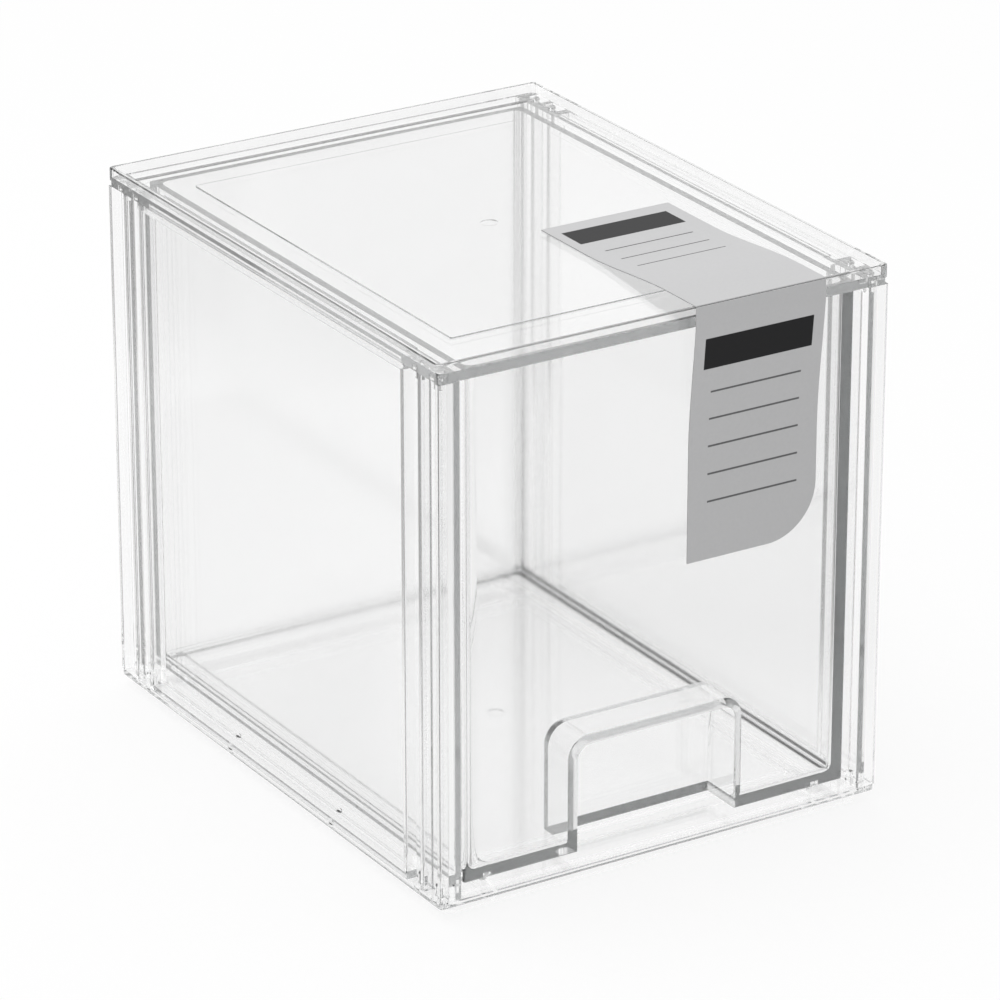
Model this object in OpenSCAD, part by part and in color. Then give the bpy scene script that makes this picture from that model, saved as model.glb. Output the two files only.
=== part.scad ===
// Stackable drawer box: a clear case of clipped panels, an open drawer with a finger pocket, and its label.
// Front is -Y, right is +X, and the origin is at the middle of the footprint on the surface it stands on.

/* [Case] */
// Width of the case
case_w = 150; // [130:1:240]
// Depth of the case, front to back
case_d = 190; // [170:1:300]
// Height of the case, foot to lip
case_h = 169.5; // [120:0.5:260]
// Radius of the base and top panels' upright corners
case_corner_r = 1.5; // [0.9:0.1:3]
// Radius of the slabs' outer edges
slab_edge_r = 0.5; // [0.2:0.1:0.8]

/* [Base panel] */
// Height of the ring foot under the base slab
foot_h = 3.5; // [3.2:0.1:5]
// Thickness of the ring foot's walls
foot_wall = 2; // [1.5:0.1:4]
// Radius of the ring foot's corners
foot_corner_r = 3; // [0.5:0.1:5]
// Thickness of the ties between the ring foot's two rings
foot_tie_wall = 1.2; // [0.8:0.1:2]
// Distance between the two ties at each end, middle to middle
foot_tie_spacing = 110; // [60:1:114]
// Thickness of the base slab
base_slab = 2.1; // [1.8:0.1:4]
// Height of the runner ribs that carry the drawer
runner_h = 3.3; // [2:0.1:5]
// Thickness of the runner ribs
runner_wall = 1.6; // [1:0.1:3]
// Distance between the two runner ribs, middle to middle
runner_spacing = 113; // [80:1:115]
// How far the runner ribs stop short of the case's front and back
runner_setback = 7; // [6.5:0.5:12]

/* [Top panel] */
// Thickness of the top slab
top_slab = 2.9; // [2.5:0.1:5]
// Height of the lip over the tray floor
lip_h = 3; // [2:0.1:3.2]
// Thickness of the lip
lip_wall = 1.2; // [1:0.1:2]
// Height of the raised field in the tray
field_h = 0.4; // [0.2:0.1:0.8]
// Width of the raised field
field_w = 115; // [80:1:116]
// Depth of the raised field, front to back
field_d = 146; // [100:1:148]
// Radius of the raised field's corners
field_corner_r = 0.5; // [0.2:0.1:3]
// Height of the narrow band under the parting step on the slab's edge
edge_band_h = 2; // [1:0.1:2.2]
// How far that band is set in
edge_step = 0.3; // [0.1:0.1:0.6]

/* [Side panels] */
// Thickness of the side walls
side_wall = 2.5; // [1.8:0.1:2.8]
// Depth of the corner posts, from the side walls' inner face to their ribs' outer edge
post_x = 6.9; // [6.5:0.1:9]
// Width of the corner posts, front to back
post_y = 20.6; // [18:0.2:26]
// Thickness of the corner posts' spine
post_spine = 3.6; // [2.9:0.1:4]
// Thickness of the corner posts' ribs
post_rib = 2; // [1.4:0.1:2.6]
// Radius of the ribs' outer edges
post_rib_r = 0.5; // [0.2:0.1:0.6]
// Height of the rail along the wall's foot and head
rail_h = 1.8; // [1.2:0.1:4]
// Height of the tongue on the wall's head, which seats in the top panel
tongue_h = 0.8; // [0.4:0.1:1.2]

/* [Pegs] */
// Radius of the snap pegs
peg_r = 1.5; // [1.2:0.1:1.8]
// How far a peg runs up the post's groove as a boss
peg_boss_h = 3; // [1:0.5:6]
// Length of the pegs that stand in the top slab
top_peg_h = 1.6; // [1:0.1:2]
// Distance between the two pegs under a side wall
wall_peg_spacing = 60; // [30:1:100]

/* [Back panel] */
// Thickness of the back panel
back_wall = 2.3; // [1.8:0.1:3]
// How far the back panel lies in from the case's back
back_recess = 4.3; // [3.5:0.1:6]
// How deep the back panel sits in the grooves of the back posts
back_groove = 1.2; // [0.8:0.1:1.4]

/* [Drawer] */
// Wall of the drawer
drawer_wall = 2.4; // [1.8:0.1:3.5]
// Gap between the drawer and the side panels
drawer_side_gap = 2.7; // [0.5:0.1:4]
// How far the drawer's front lies in from the case's front
drawer_inset = 3; // [1:0.1:5]
// Gap between the drawer and the back panel
drawer_back_gap = 1; // [0.5:0.1:5]
// Gap between the drawer and the top panel
drawer_top_gap = 0.5; // [0.3:0.1:4]
// Gap between the drawer and its runner ribs
drawer_run_gap = 0.2; // [0.1:0.05:0.5]
// Outer radius of the drawer's upright corners
drawer_corner_r = 1; // [0.9:0.1:4]
// Inner radius of the drawer's upright corners
drawer_inner_r = 2.8; // [2.6:0.1:8]
// Outer radius along the drawer's bottom edge
drawer_edge_r = 0.8; // [0.3:0.1:0.8]
// Radius of the fillet between the drawer's floor and walls
drawer_fillet_r = 2.6; // [1:0.1:2.6]
// Depth of the guide grooves under the drawer, which the runner ribs run in
guide_depth = 0.8; // [0.3:0.1:1.2]
// Gap between the guide grooves and the runner ribs, at the sides and the front end
guide_gap = 0.6; // [0.3:0.1:1]

/* [Finger pocket] */
// Clear width of the finger pocket
pocket_w = 54.6; // [40:0.2:80]
// Clear height of the finger pocket over the drawer's underside
pocket_h = 33.6; // [24:0.2:60]
// Depth of the finger pocket behind the drawer's front
pocket_d = 14.5; // [10:0.5:24]
// Thickness of the wall round the finger pocket
pocket_wall = 2.5; // [1.8:0.1:3.5]
// Radius of the finger pocket's upper corners
pocket_corner_r = 4.5; // [2:0.5:8]
// Radius round the pocket's rear wall, inside the drawer
pocket_back_r = 2.5; // [1:0.5:4]

/* [Gate marks] */
// Radius of the round gate mark on the tray and the drawer's floor
gate_r = 2.6; // [1:0.1:5]
// Depth of the gate marks
gate_depth = 0.2; // [0.1:0.05:0.4]

/* [Label] */
// Width of the label
label_w = 44; // [30:1:60]
// Distance from the label's right edge to the case's right side
label_side_gap = 22; // [8:0.5:40]
// Thickness of the label
label_t = 0.3; // [0.2:0.05:0.6]
// How far the label hangs down from the lip
label_drop = 79; // [50:1:100]
// How far the label reaches back from the lip's front edge
label_back = 81; // [60:1:120]
// Length of the glued stretch at the label's lower end
label_glued = 33; // [10:1:45]
// Length of the glued stretch at the label's back end
label_flat = 24; // [10:1:30]
// Length of the level stretch behind the lip
label_level = 13; // [5:1:20]
// Radius of the label's lower right corner
label_corner_r = 16.5; // [4:0.5:25]

/* [Clearances] */
// Gap between panels that are clipped together
seat_gap = 0.1; // [0.05:0.05:0.2]
// Gap round a peg in its hole
peg_gap = 0.1; // [0.05:0.05:0.2]
// Gap between the raised field and a stacked box's foot
stack_gap = 0.8; // [0.3:0.1:2]
// Gap between the lip and a stacked box's foot, at the sides
stack_gap_x = 2.8; // [0.5:0.1:4]
// Gap between the lip and a stacked box's foot, at the front and back
stack_gap_y = 1.8; // [0.5:0.1:4]

/* [Hidden] */
$fn = 64;
// Lets a cut run past the face that it opens
past = 1;
// Steps along the label's bends
bend_steps = 12;

base_top = foot_h + base_slab;
tray_floor = case_h - lip_h;
top_under = tray_floor - top_slab;
panel_foot = base_top + seat_gap;
panel_head = top_under - seat_gap;

side_in = case_w / 2 - post_x;
post_in = case_d / 2 - post_y;
groove_w = (post_y - 3 * post_rib) / 2;
peg_x = side_in + post_spine - peg_gap;
tongue_y = post_in - post_rib;
peg_ys = [for (cell = [0, 1]) post_in + post_rib + groove_w / 2 + cell * (groove_w + post_rib)];
peg_hole_r = peg_r + peg_gap;
wall_peg_x = side_in + side_wall / 2;

foot_x = case_w / 2 - lip_wall - stack_gap_x;
foot_y = case_d / 2 - lip_wall - stack_gap_y;
foot_inner_x = field_w / 2 + stack_gap;
foot_inner_y = field_d / 2 + stack_gap;

back_out = case_d / 2 - back_recess;
back_in = back_out - back_wall;

drawer_under = base_top + runner_h + drawer_run_gap - guide_depth;
drawer_top = top_under - drawer_top_gap;
drawer_h = drawer_top - drawer_under;
drawer_w = 2 * (side_in - drawer_side_gap);
drawer_front = -case_d / 2 + drawer_inset;
drawer_back = back_in - drawer_back_gap;
drawer_d = drawer_back - drawer_front;
drawer_mid = (drawer_front + drawer_back) / 2;
drawer_inner_w = drawer_w - 2 * drawer_wall;
drawer_inner_d = drawer_d - 2 * drawer_wall;
drawer_inner_h = drawer_h - drawer_wall;

guide_w = runner_wall + 2 * guide_gap;
guide_front = -case_d / 2 + runner_setback - guide_gap;

lip_front = -case_d / 2;
label_x = case_w / 2 - label_side_gap - label_w;

// A rectangle round the origin with rounded corners
module rounded_plan(size_x, size_y, r) {
    square([size_x - 2 * r, size_y], center = true);
    square([size_x, size_y - 2 * r], center = true);
    for (x = [-1, 1], y = [-1, 1])
        translate([x * (size_x / 2 - r), y * (size_y / 2 - r)])
            circle(r);
}

// The plan of a ring of walls inside the given outline
module ring_plan(size_x, size_y, wall, r) {
    difference() {
        rounded_plan(size_x, size_y, r);
        rounded_plan(size_x - 2 * wall, size_y - 2 * wall, r);
    }
}

// Half of an upright section, r_plan wide, with its lower outer corner rounded by r_edge
module tub_section(r_plan, h, r_edge) {
    translate([0, r_edge])
        square([r_plan, h - r_edge]);
    square([r_plan - r_edge, h]);
    intersection() {
        square([r_plan, h]);
        translate([r_plan - r_edge, r_edge])
            circle(r_edge);
    }
}

// A block that stands on its origin with round upright corners and a rounded bottom edge:
// four straight sides and four revolved corners of one section round a plain core
module tub(size_x, size_y, h, r_plan, r_edge) {
    core_x = size_x - 2 * r_plan;
    core_y = size_y - 2 * r_plan;
    translate([-core_x / 2, -core_y / 2, 0])
        cube([core_x, core_y, h]);
    for (side = [0, 180]) {
        rotate([0, 0, side])
            translate([core_x / 2, 0, 0])
                rotate([90, 0, 0])
                    linear_extrude(core_y, center = true)
                        tub_section(r_plan, h, r_edge);
        rotate([0, 0, side + 90])
            translate([core_y / 2, 0, 0])
                rotate([90, 0, 0])
                    linear_extrude(core_x, center = true)
                        tub_section(r_plan, h, r_edge);
    }
    for (x = [-1, 1], y = [-1, 1])
        translate([x * core_x / 2, y * core_y / 2, 0])
            rotate_extrude()
                tub_section(r_plan, h, r_edge);
}

// Places its child at each of a side panel's post pegs
module at_post_pegs() {
    for (y = peg_ys, end = [-1, 1])
        translate([peg_x, end * y, 0])
            children();
}

// Places its child at each of a side wall's own pegs
module at_wall_pegs() {
    for (end = [-1, 1])
        translate([wall_peg_x, end * wall_peg_spacing / 2, 0])
            children();
}

// Both sides of the case
module both_sides() {
    children();
    mirror([1, 0, 0])
        children();
}

module base_panel() {
    color("gainsboro", 0.4) {
        difference() {
            translate([0, 0, foot_h])
                tub(case_w, case_d, base_slab, case_corner_r, slab_edge_r);
            both_sides() {
                translate([0, 0, foot_h]) {
                    at_post_pegs()
                        cylinder(h = base_slab + past, r = peg_hole_r);
                    at_wall_pegs()
                        cylinder(h = base_slab + past, r = peg_hole_r);
                }
            }
        }
        linear_extrude(foot_h)
            ring_plan(2 * foot_x, 2 * foot_y, foot_wall, foot_corner_r);
        linear_extrude(foot_h)
            ring_plan(2 * (foot_inner_x + foot_wall), 2 * (foot_inner_y + foot_wall), foot_wall, foot_corner_r);
        for (end = [0, 180], side = [-1, 1])
            rotate([0, 0, end])
                translate([side * foot_tie_spacing / 2 - foot_tie_wall / 2, foot_inner_y + foot_wall / 2, 0])
                    cube([foot_tie_wall, foot_y - foot_inner_y - foot_wall, foot_h]);
        for (side = [-1, 1])
            translate([side * runner_spacing / 2 - runner_wall / 2, -case_d / 2 + runner_setback, base_top])
                cube([runner_wall, case_d - 2 * runner_setback - back_recess, runner_h]);
    }
}

module top_panel() {
    lip_bottom = top_under + edge_band_h;
    color("gainsboro", 0.4)
        difference() {
            union() {
                translate([0, 0, top_under])
                    linear_extrude(edge_band_h)
                        rounded_plan(case_w - 2 * edge_step, case_d - 2 * edge_step, case_corner_r);
                difference() {
                    translate([0, 0, case_h])
                        mirror([0, 0, 1])
                            tub(case_w, case_d, case_h - lip_bottom, case_corner_r, slab_edge_r);
                    translate([0, 0, tray_floor])
                        linear_extrude(lip_h + past)
                            rounded_plan(case_w - 2 * lip_wall, case_d - 2 * lip_wall, case_corner_r);
                }
                translate([0, 0, tray_floor])
                    linear_extrude(field_h)
                        rounded_plan(field_w, field_d, field_corner_r);
            }
            translate([0, 0, tray_floor + field_h - gate_depth])
                cylinder(h = gate_depth + past, r = gate_r);
            both_sides()
                translate([0, 0, top_under - past])
                    at_post_pegs()
                        cylinder(h = top_peg_h + peg_gap + past, r = peg_hole_r);
            both_sides()
                translate([side_in - seat_gap, -tongue_y - seat_gap, top_under - past])
                    cube([side_wall + 2 * seat_gap, 2 * (tongue_y + seat_gap), tongue_h + past]);
        }
}

// Plan of a rib that stands out from the post's inner face, with rounded outer edges
module rib_plan() {
    square([post_x - post_rib_r, post_rib]);
    translate([0, post_rib_r])
        square([post_x, post_rib - 2 * post_rib_r]);
    for (y = [post_rib_r, post_rib - post_rib_r])
        translate([post_x - post_rib_r, y])
            circle(post_rib_r);
}

// Plan of a corner post at the front right: a spine with three ribs that leave two grooves
module post_plan() {
    translate([side_in, -case_d / 2])
        square([post_spine, post_y]);
    for (rib = [0, 1, 2])
        translate([side_in, -case_d / 2 + rib * (groove_w + post_rib)])
            rib_plan();
}

// The right side panel, from which the left one is mirrored
module side_panel() {
    panel_h = panel_head - panel_foot;
    difference() {
        union() {
            translate([0, 0, panel_foot])
                linear_extrude(panel_h) {
                    translate([side_in, -post_in - post_rib])
                        square([side_wall, 2 * (post_in + post_rib)]);
                    post_plan();
                    mirror([0, 1])
                        post_plan();
                }
            for (z = [panel_foot, panel_head - rail_h])
                translate([side_in, -post_in - post_rib, z])
                    cube([post_x, 2 * (post_in + post_rib), rail_h]);
            at_post_pegs() {
                translate([0, 0, foot_h])
                    cylinder(h = base_slab + peg_boss_h, r = peg_r);
                translate([0, 0, panel_head - peg_boss_h])
                    cylinder(h = peg_boss_h + top_peg_h, r = peg_r);
            }
            translate([side_in, -tongue_y, panel_head])
                cube([side_wall, 2 * tongue_y, tongue_h]);
            translate([0, 0, foot_h])
                at_wall_pegs()
                    cylinder(h = base_slab + rail_h, r = peg_r);
        }
        translate([side_in - past, back_in - seat_gap, panel_foot - past])
            cube([back_groove + seat_gap + past, back_wall + 2 * seat_gap, panel_h + 2 * past]);
    }
}

module right_panel() {
    color("gainsboro", 0.4)
        side_panel();
}

module left_panel() {
    color("gainsboro", 0.4)
        mirror([1, 0, 0])
            side_panel();
}

module back_panel() {
    half_w = side_in + back_groove;
    color("gainsboro", 0.4)
        translate([-half_w, back_in, panel_foot])
            cube([2 * half_w, back_wall, panel_head - panel_foot]);
}

// The finger pocket's arch: straight sides and two round upper corners.
// It starts a little below the drawer's underside, so that it cuts right through.
module arch() {
    half_w = pocket_w / 2;
    translate([-half_w, -past])
        square([pocket_w, past + pocket_h - pocket_corner_r]);
    translate([-half_w + pocket_corner_r, -past])
        square([pocket_w - 2 * pocket_corner_r, past + pocket_h]);
    for (x = [-1, 1])
        translate([x * (half_w - pocket_corner_r), pocket_h - pocket_corner_r])
            circle(pocket_corner_r);
}

// The wall round the finger pocket as a solid block: a lying tub whose rounded end points back
module pocket_block() {
    block_top = pocket_h + pocket_wall;
    block_d = pocket_d + pocket_wall - drawer_wall / 2;
    intersection() {
        translate([0, drawer_front + pocket_d + pocket_wall, drawer_under])
            rotate([90, 0, 0])
                tub(pocket_w + 2 * pocket_wall, 2 * block_top, block_d,
                    pocket_corner_r + pocket_wall, pocket_back_r);
        translate([-pocket_w, drawer_front, drawer_under + drawer_edge_r])
            cube([2 * pocket_w, 2 * block_d, drawer_h]);
    }
}

module drawer() {
    color("whitesmoke", 0.4)
        difference() {
            union() {
                difference() {
                    translate([0, drawer_mid, drawer_under])
                        tub(drawer_w, drawer_d, drawer_h, drawer_corner_r, drawer_edge_r);
                    translate([0, drawer_mid, drawer_under + drawer_wall])
                        tub(drawer_inner_w, drawer_inner_d, drawer_inner_h + past,
                            drawer_inner_r, drawer_fillet_r);
                }
                pocket_block();
            }
            translate([0, drawer_front + pocket_d, drawer_under])
                rotate([90, 0, 0])
                    linear_extrude(pocket_d + past)
                        arch();
            for (side = [-1, 1])
                translate([side * runner_spacing / 2 - guide_w / 2, guide_front, drawer_under - past])
                    cube([guide_w, drawer_d, guide_depth + past]);
            translate([0, drawer_mid, drawer_under + drawer_wall - gate_depth])
                cylinder(h = gate_depth + past, r = gate_r);
        }
}

// A smooth step from 0 to 1, level at both ends
function ease(t) = t * t * (3 - 2 * t);

// A rise from 0 to 1, level at its start and straight at its end
function lift_off(t) = t * t * (2 - t);

// Where the label's inner face runs over the tray: level behind the lip, then down onto the raised field
function top_run() = let (
        field_top = tray_floor + field_h + seat_gap,
        lip_top = case_h + seat_gap,
        back_end = lip_front + label_back,
        ramp_front = lip_front + label_level,
        ramp_back = back_end - label_flat)
    concat(
        [[lip_front, lip_top]],
        [for (i = [0 : bend_steps])
            [ramp_front + (ramp_back - ramp_front) * i / bend_steps,
             lip_top + (field_top - lip_top) * ease(i / bend_steps)]],
        [[back_end, field_top]]);

module label_top() {
    inner = top_run();
    outer = [for (i = [len(inner) - 1 : -1 : 0]) inner[i] + [0, label_t]];
    color("silver")
        translate([label_x, 0, 0])
            rotate([90, 0, 90])
                linear_extrude(label_w)
                    polygon(concat(inner, outer));
}

// Where the label's inner face hangs over the front: glued to the drawer below, then out to the lip
function front_run() = let (
        glued_y = drawer_front - seat_gap,
        lip_y = lip_front - seat_gap,
        low = case_h - label_drop,
        bend_low = low + label_glued,
        bend_high = drawer_top)
    concat(
        [[glued_y, low]],
        [for (i = [0 : bend_steps])
            [glued_y + (lip_y - glued_y) * lift_off(i / bend_steps),
             bend_low + (bend_high - bend_low) * i / bend_steps]],
        [[lip_y, case_h]]);

// The label's outline from the front, with its lower right corner rounded
module label_outline() {
    low = case_h - label_drop;
    translate([label_x, low + label_corner_r])
        square([label_w, label_drop - label_corner_r]);
    translate([label_x, low])
        square([label_w - label_corner_r, label_drop]);
    translate([label_x + label_w - label_corner_r, low + label_corner_r])
        circle(label_corner_r);
}

module label_front() {
    inner = front_run();
    outer = [for (i = [len(inner) - 1 : -1 : 0]) inner[i] - [label_t, 0]];
    color("silver")
        intersection() {
            translate([label_x, 0, 0])
                rotate([90, 0, 90])
                    linear_extrude(label_w)
                        polygon(concat(inner, outer));
            translate([0, drawer_front, 0])
                rotate([90, 0, 0])
                    linear_extrude(drawer_inset + 2 * seat_gap + 2 * label_t)
                        label_outline();
        }
}

base_panel();
top_panel();
left_panel();
right_panel();
back_panel();
drawer();
label_top();
label_front();
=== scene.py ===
"""Dresses the stackable drawer box: clear moulded plastic, its grey label, and a plain white studio."""
import math

import bpy
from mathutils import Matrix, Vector

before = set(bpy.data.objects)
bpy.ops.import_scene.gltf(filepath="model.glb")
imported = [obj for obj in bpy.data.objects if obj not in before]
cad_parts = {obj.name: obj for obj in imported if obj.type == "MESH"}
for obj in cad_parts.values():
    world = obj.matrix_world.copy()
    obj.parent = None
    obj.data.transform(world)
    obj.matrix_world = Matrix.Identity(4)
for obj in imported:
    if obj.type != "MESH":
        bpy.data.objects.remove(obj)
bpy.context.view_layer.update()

# Camera, as fitted to the case's corners: degrees, metres, and millimetres for the lens
CAMERA_AZIMUTH = -31.77
CAMERA_ELEVATION = 22.93
CAMERA_DISTANCE = 1.697
CAMERA_TARGET = Vector((0.0036, 0.0, 0.0783))
CAMERA_LENS = 205.24
SENSOR_WIDTH = 36.0

# Clear polystyrene: absorption per metre, and the faint ripple that moulding leaves
CASE_NODES = ("base_panel", "top_panel", "left_panel", "right_panel", "back_panel")
PLASTIC_IOR = 1.57
PLASTIC_ROUGHNESS = 0.045
PLASTIC_TINT = (0.5, 0.51, 0.51, 1)
CASE_DENSITY = 8.0
DRAWER_DENSITY = 13.0
RIPPLE_SCALE = 18.0
RIPPLE_STRENGTH = 0.05
RIPPLE_HEIGHT = 0.0004

# Printed label: colours, lengths in metres, and the film's mottle as a factor
LABEL_GREY = (0.52, 0.52, 0.525, 1)
LABEL_ROUGHNESS = 0.5
LABEL_SPECULAR = 0.2
BAND_BLACK = (0.02, 0.02, 0.021, 1)
RULE_GREY = (0.13, 0.13, 0.132, 1)
RULE_PITCH = 0.0085
RULE_THICKNESS = 0.0006
RULE_SIDE = 0.003
MOTTLE_SCALE = 900.0
MOTTLE = (0.97, 1.03)

# Each sheet's print: the axis along it, the band's range in X, and the band's and the rules' ranges along the sheet
LABEL_PRINT = {
    "label_front": ("Z", (0.0125, 0.0493), (0.1497, 0.1593), (0.108, 0.1447)),
    "label_top": ("Y", (0.0122, 0.0484), (-0.0305, -0.0198), (-0.056, -0.0361)),
}

# The studio, as reflections show it: how bright the dark parts of the room are, and how dark the painted shade on the
# floor is
ROOM_LEVEL = 0.5
PAINTED_SHADE_FRONT_LEVEL = 0.2
LEFT_ROOM_AND_PAINTED_SHADE_LEVEL = 0.9
# and where they turn from dark to light: along a ray's direction in the room, and in metres on the floor for its
# painted shade
ROOM_FRONT = (-0.5, 0.15)
ROOM_LEFT = (-0.6, -0.2)
FLOOR_PAINTED_SHADE_FRONT_RIGHT = (-0.34, -0.18)
FLOOR_PAINTED_SHADE_LEFT = (-0.3, -0.1)

FLOOR_HALF_SIDE = 12.0
FLOOR_COLOUR = (0.9, 0.9, 0.9, 1)
FLOOR_PLAIN_SHARE = 0.88
WHITE = (1, 1, 1, 1)

# Lamps: name, place, side in metres, power in watts; they all face one point
LAMP_AIM = Vector((0, 0, 0.1))
LAMPS = (
    ("overhead", Vector((-0.3, 0.2, 1.6)), 1.0, 9.0),
    ("front_left", Vector((-1.2, -1.4, 0.9)), 0.9, 6.0),
)

# Light paths: a ray to the backdrop crosses many clear walls
MAX_BOUNCES = 48


def node_tree(name):
    """A new material and its empty node tree."""
    material = bpy.data.materials.new(name)
    material.use_nodes = True
    material.node_tree.nodes.clear()
    return material, material.node_tree


def feed(tree, socket, value):
    """Gives an input its value, which is a socket or a constant."""
    if isinstance(value, bpy.types.NodeSocket):
        tree.links.new(value, socket)
    else:
        socket.default_value = value


def add(tree, kind, **inputs):
    """Adds a node and feeds its inputs by name."""
    node = tree.nodes.new(kind)
    for name, value in inputs.items():
        feed(tree, node.inputs[name.replace("_", " ")], value)
    return node


def math_node(tree, operation, a, b):
    """The result of a Math node."""
    node = tree.nodes.new("ShaderNodeMath")
    node.operation = operation
    feed(tree, node.inputs[0], a)
    feed(tree, node.inputs[1], b)
    return node.outputs[0]


def coordinates(tree, space):
    """A texture coordinate, and its X, Y and Z."""
    place = tree.nodes.new("ShaderNodeTexCoord").outputs[space]
    return place, add(tree, "ShaderNodeSeparateXYZ", Vector=place).outputs


def between(tree, value, low, high):
    """1 where value lies between low and high."""
    above = math_node(tree, "GREATER_THAN", value, low)
    below = math_node(tree, "LESS_THAN", value, high)
    return math_node(tree, "MULTIPLY", above, below)


def mixed(tree, factor, a, b):
    """A mix of two colours."""
    colour = tree.nodes.new("ShaderNodeMix")
    colour.data_type = "RGBA"
    for name, value in (("Factor", factor), ("A", a), ("B", b)):
        feed(tree, colour.inputs[name], value)
    return colour.outputs["Result"]


def falloff(tree, value, ends, dark_level):
    """A smooth change from dark_level to 1 as value goes from one end to the other."""
    step = add(tree, "ShaderNodeMapRange", Value=value, From_Min=ends[0], From_Max=ends[1], To_Min=dark_level,
               To_Max=1.0)
    step.interpolation_type = "SMOOTHSTEP"
    return step.outputs["Result"]


def seen_ray(tree):
    """1 for a ray that shows the background: straight from the camera, by a mirror, or through a clear wall."""
    path = tree.nodes.new("ShaderNodeLightPath")
    seen = math_node(tree, "MAXIMUM", path.outputs["Is Camera Ray"], path.outputs["Is Glossy Ray"])
    return math_node(tree, "MAXIMUM", seen, path.outputs["Is Transmission Ray"])


def plain_ray(tree):
    """1 for a ray that shows the background with no reflection on its way."""
    path = tree.nodes.new("ShaderNodeLightPath")
    direct = math_node(tree, "LESS_THAN", path.outputs["Glossy Depth"], 0.5)
    through = math_node(tree, "MULTIPLY", direct, path.outputs["Is Transmission Ray"])
    return math_node(tree, "MAXIMUM", through, path.outputs["Is Camera Ray"])


def backdrop_strength(tree, front, left):
    """White where it is seen straight or through walls; where a reflection shows it, the two falloffs' product."""
    return math_node(tree, "MAXIMUM", math_node(tree, "MULTIPLY", front, left), plain_ray(tree))


def clear_plastic(name, density):
    """Polished clear plastic whose flat walls ripple a little."""
    material, tree = node_tree(name)
    shader = add(tree, "ShaderNodeBsdfPrincipled", Base_Color=WHITE, Roughness=PLASTIC_ROUGHNESS, IOR=PLASTIC_IOR,
                 Transmission_Weight=1.0)
    body = add(tree, "ShaderNodeVolumeAbsorption", Color=PLASTIC_TINT, Density=density)
    place = coordinates(tree, "Object")[0]
    ripple = add(tree, "ShaderNodeTexNoise", Vector=place, Scale=RIPPLE_SCALE, Detail=1.0)
    bump = add(tree, "ShaderNodeBump", Height=ripple.outputs["Fac"], Strength=RIPPLE_STRENGTH, Distance=RIPPLE_HEIGHT)
    tree.links.new(bump.outputs["Normal"], shader.inputs["Normal"])
    add(tree, "ShaderNodeOutputMaterial", Surface=shader.outputs["BSDF"], Volume=body.outputs["Volume"])
    return material


def label_paper(name, along_axis, band_x, band_along, rules_along):
    """Grey printed film with one plain black band and ruled lines to write on."""
    material, tree = node_tree(name)
    place, axes = coordinates(tree, "Object")
    across, along = axes["X"], axes[along_axis]
    band = math_node(tree, "MULTIPLY", between(tree, across, *band_x), between(tree, along, *band_along))
    step = math_node(tree, "FLOORED_MODULO", math_node(tree, "SUBTRACT", along, rules_along[0]), RULE_PITCH)
    rules = math_node(tree, "MULTIPLY", math_node(tree, "LESS_THAN", step, RULE_THICKNESS),
                      between(tree, across, band_x[0] + RULE_SIDE, band_x[1] - RULE_SIDE))
    rules = math_node(tree, "MULTIPLY", rules, between(tree, along, *rules_along))
    printed = mixed(tree, band, mixed(tree, rules, LABEL_GREY, RULE_GREY), BAND_BLACK)
    fibre = add(tree, "ShaderNodeTexNoise", Vector=place, Scale=MOTTLE_SCALE, Detail=2.0)
    mottle = add(tree, "ShaderNodeMapRange", Value=fibre.outputs["Fac"], To_Min=MOTTLE[0], To_Max=MOTTLE[1])
    shade = tree.nodes.new("ShaderNodeVectorMath")
    shade.operation = "SCALE"
    feed(tree, shade.inputs["Vector"], printed)
    feed(tree, shade.inputs["Scale"], mottle.outputs["Result"])
    shader = add(tree, "ShaderNodeBsdfPrincipled", Base_Color=shade.outputs["Vector"], Roughness=LABEL_ROUGHNESS,
                 Specular_IOR_Level=LABEL_SPECULAR)
    add(tree, "ShaderNodeOutputMaterial", Surface=shader.outputs["BSDF"])
    return material


def dress(node, material):
    """Gives a CAD node's object its material."""
    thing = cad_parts[node]
    for slot in thing.material_slots:
        slot.material = material
    if not thing.material_slots:
        thing.data.materials.append(material)


def make_camera():
    """The photograph's camera: a long lens from the front left, a little above."""
    azimuth = math.radians(CAMERA_AZIMUTH)
    elevation = math.radians(CAMERA_ELEVATION)
    back = Vector((math.sin(azimuth) * math.cos(elevation),
                   -math.cos(azimuth) * math.cos(elevation),
                   math.sin(elevation)))
    data = bpy.data.cameras.new("camera")
    data.lens = CAMERA_LENS
    data.sensor_width = SENSOR_WIDTH
    camera = bpy.data.objects.new("camera", data)
    camera.location = CAMERA_TARGET + back * CAMERA_DISTANCE
    camera.rotation_euler = back.to_track_quat("Z", "Y").to_euler()
    bpy.context.scene.collection.objects.link(camera)
    bpy.context.scene.camera = camera


def make_world():
    """The room, which is darker in front of the object and at its left where reflections show it."""
    world = bpy.data.worlds.new("studio")
    bpy.context.scene.world = world
    world.use_nodes = True
    world.cycles.sampling_method = "NONE"
    tree = world.node_tree
    tree.nodes.clear()
    axes = coordinates(tree, "Generated")[1]
    strength = backdrop_strength(tree, falloff(tree, axes["Y"], ROOM_FRONT, ROOM_LEVEL),
                                 falloff(tree, axes["X"], ROOM_LEFT, LEFT_ROOM_AND_PAINTED_SHADE_LEVEL))
    background = add(tree, "ShaderNodeBackground", Color=WHITE, Strength=strength)
    add(tree, "ShaderNodeOutputWorld", Surface=background.outputs["Background"])


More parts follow.
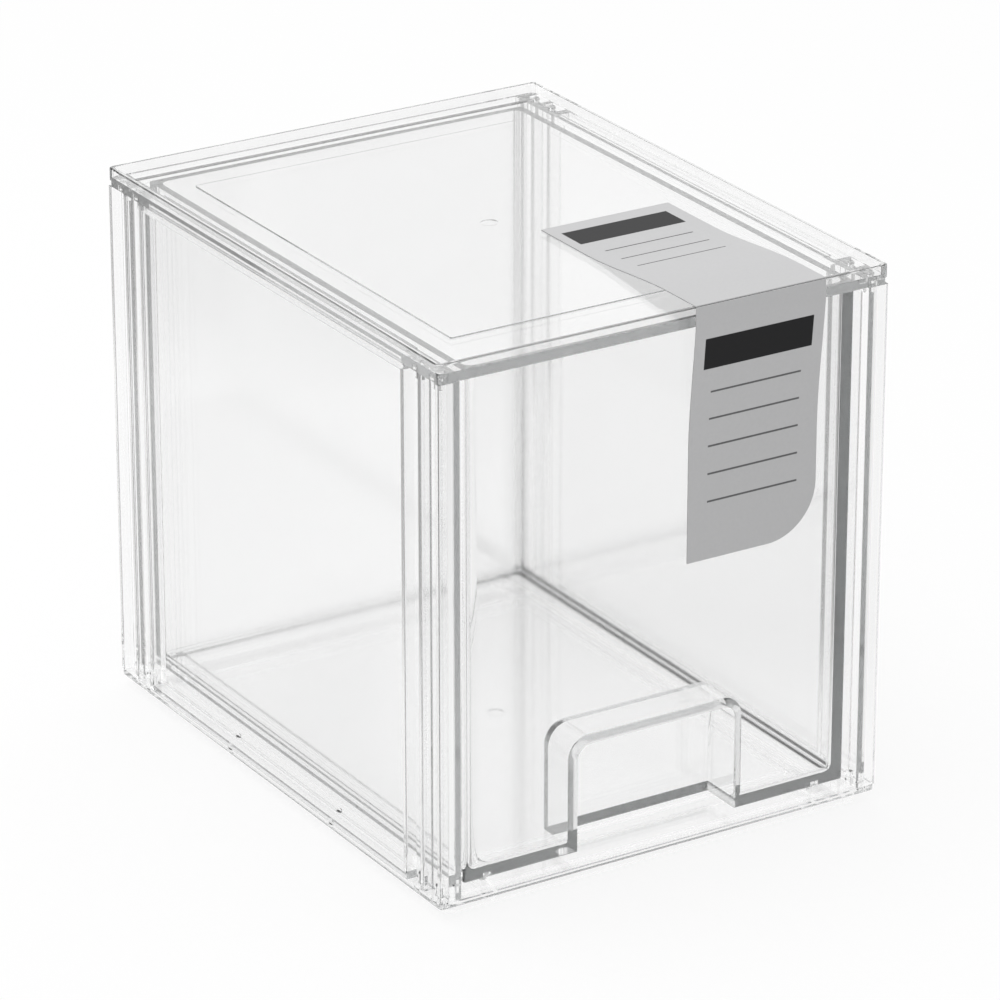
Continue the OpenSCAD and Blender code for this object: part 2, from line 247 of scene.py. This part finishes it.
def make_floor():
    """A plain white floor that keeps a faint shadow; painted shade makes it darker at the front right and the left
    where reflections show it.
    """
    mesh = bpy.data.meshes.new("floor")
    corners = [(x * FLOOR_HALF_SIDE, y * FLOOR_HALF_SIDE, 0.0) for x, y in ((-1, -1), (1, -1), (1, 1), (-1, 1))]
    mesh.from_pydata(corners, [], [(0, 1, 2, 3)])
    floor = bpy.data.objects.new("floor", mesh)
    bpy.context.scene.collection.objects.link(floor)
    material, tree = node_tree("floor_white_with_painted_shade")
    axes = coordinates(tree, "Object")[1]
    # painted shade: the floor's glow is dimmed at the front right and the left for rays that reach it by a reflection
    painted_shade_front_right = math_node(tree, "SUBTRACT", axes["Y"], axes["X"])
    strength = backdrop_strength(tree, falloff(tree, painted_shade_front_right, FLOOR_PAINTED_SHADE_FRONT_RIGHT, PAINTED_SHADE_FRONT_LEVEL),
                                 falloff(tree, axes["X"], FLOOR_PAINTED_SHADE_LEFT, LEFT_ROOM_AND_PAINTED_SHADE_LEVEL))
    lit = add(tree, "ShaderNodeBsdfDiffuse", Color=FLOOR_COLOUR)
    plain = add(tree, "ShaderNodeEmission", Color=WHITE, Strength=strength)
    mix = add(tree, "ShaderNodeMixShader", Fac=math_node(tree, "MULTIPLY", seen_ray(tree), FLOOR_PLAIN_SHARE))
    feed(tree, mix.inputs[1], lit.outputs["BSDF"])
    feed(tree, mix.inputs[2], plain.outputs["Emission"])
    add(tree, "ShaderNodeOutputMaterial", Surface=mix.outputs["Shader"])
    mesh.materials.append(material)


def softbox(name, place, side, power):
    """A square area light."""
    data = bpy.data.lights.new(name, "AREA")
    data.size = side
    data.energy = power
    lamp = bpy.data.objects.new(name, data)
    lamp.location = place
    lamp.rotation_euler = (place - LAMP_AIM).to_track_quat("Z", "Y").to_euler()
    bpy.context.scene.collection.objects.link(lamp)


make_camera()
make_world()
make_floor()
for lamp_values in LAMPS:
    softbox(*lamp_values)

bpy.context.scene.view_settings.view_transform = "Standard"
cycles = bpy.context.scene.cycles
cycles.max_bounces = MAX_BOUNCES
cycles.transmission_bounces = MAX_BOUNCES
cycles.glossy_bounces = MAX_BOUNCES

case_plastic = clear_plastic("clear_case_plastic", CASE_DENSITY)
for node in CASE_NODES:
    dress(node, case_plastic)
dress("drawer", clear_plastic("clear_drawer_plastic", DRAWER_DENSITY))
for node, layout in LABEL_PRINT.items():
    dress(node, label_paper(node + "_print", *layout))
